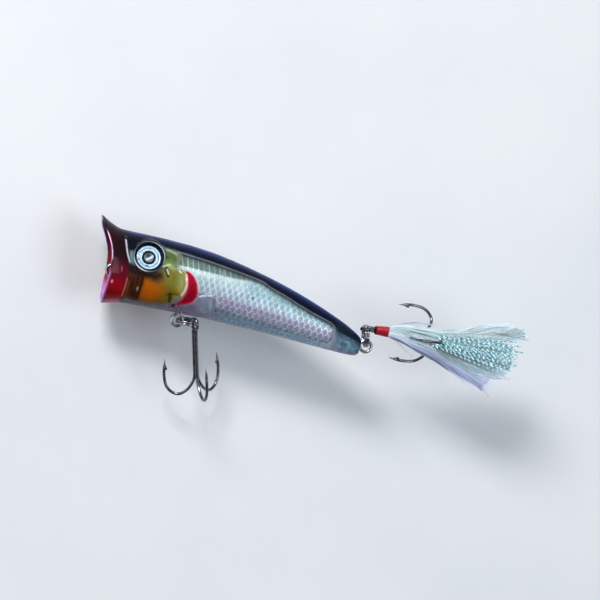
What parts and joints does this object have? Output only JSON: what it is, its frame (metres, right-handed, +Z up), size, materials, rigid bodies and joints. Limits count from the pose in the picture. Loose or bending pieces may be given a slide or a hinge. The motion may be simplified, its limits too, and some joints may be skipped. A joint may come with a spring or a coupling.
{
  "type": "topwater popper lure",
  "caption": "Floating surface fishing lure with a cupped mouth, clear shell over scale foil, domed eyes, wire hangers, split rings and treble hooks, the tail hook dressed with feathers.",
  "frame": {"origin": "centre of the line-tie eye, in the mouth cup on the middle plane", "axes": "+X from the nose to the tail, +Z up through the back, -Y towards the left flank"},
  "size_m": [0.1119, 0.0168, 0.0417],
  "materials": {
    "clear_shell": "clear glossy moulding",
    "scale_foil": "embossed reflective foil",
    "eye_print": "silver print",
    "eye_lens": "polished dome",
    "stainless_wire": "drawn wire",
    "steel_ball": "polished",
    "ring_steel": "nickel plated",
    "hook_nickel": "dark nickel",
    "red_thread": "varnished thread",
    "feather_blue": "soft feather",
    "feather_lilac": "soft feather",
    "tinsel": "metallised film"
  },
  "bodies": {
    "body": {"body_shell_left": "clear_shell", "body_shell_right": "clear_shell", "reflector_left": "scale_foil", "reflector_right": "scale_foil", "eye_disc_left": "eye_print", "eye_disc_right": "eye_print", "eye_dome_left": "eye_lens", "eye_dome_right": "eye_lens", "line_tie": "stainless_wire", "belly_hanger": "stainless_wire", "tail_hanger": "stainless_wire", "tail_weight_ball": "steel_ball"},
    "belly_ring": {"belly_split_ring": "ring_steel"},
    "belly_treble": {"belly_treble_double": "hook_nickel", "belly_treble_single": "hook_nickel"},
    "tail_ring": {"tail_split_ring": "ring_steel"},
    "tail_treble": {"tail_treble_double": "hook_nickel", "tail_treble_single": "hook_nickel", "thread_whipping": "red_thread", "feather_top": "feather_blue", "feather_near": "feather_blue", "feather_far": "feather_blue", "feather_lower": "feather_lilac", "flash_bundle": "tinsel"},
    "front_rattle": {"rattle_ball_front": "steel_ball"},
    "rear_rattle": {"rattle_ball_rear": "steel_ball"}
  },
  "joints": [
    {"name": "belly_ring_swing", "type": "hinge", "parent": "body", "child": "belly_ring", "pos_m": [0.01908, 0, -0.0072], "axis": [0, 1, 0], "range_deg": [-2, 85]},
    {"name": "belly_treble_swing", "type": "hinge", "parent": "belly_ring", "child": "belly_treble", "pos_m": [0.02329, -0.002, -0.00689], "axis": [-0.7538, -0.6022, -0.2629], "range_deg": [-35, 35]},
    {"name": "tail_ring_swing", "type": "hinge", "parent": "body", "child": "tail_ring", "pos_m": [0.0663, 0, 0.0004], "axis": [0, 1, 0], "range_deg": [-4, 150]},
    {"name": "tail_treble_swing", "type": "hinge", "parent": "tail_ring", "child": "tail_treble", "pos_m": [0.06521, -0.00204, 0.00446], "axis": [0.2713, -0.6142, -0.7411], "range_deg": [-35, 35]},
    {"name": "front_rattle_slide", "type": "slide", "parent": "body", "child": "front_rattle", "axis": [1, 0, 0], "range_m": [0, 0.003]},
    {"name": "rear_rattle_slide", "type": "slide", "parent": "body", "child": "rear_rattle", "axis": [1, 0, 0], "range_m": [0, 0.003]}
  ]
}
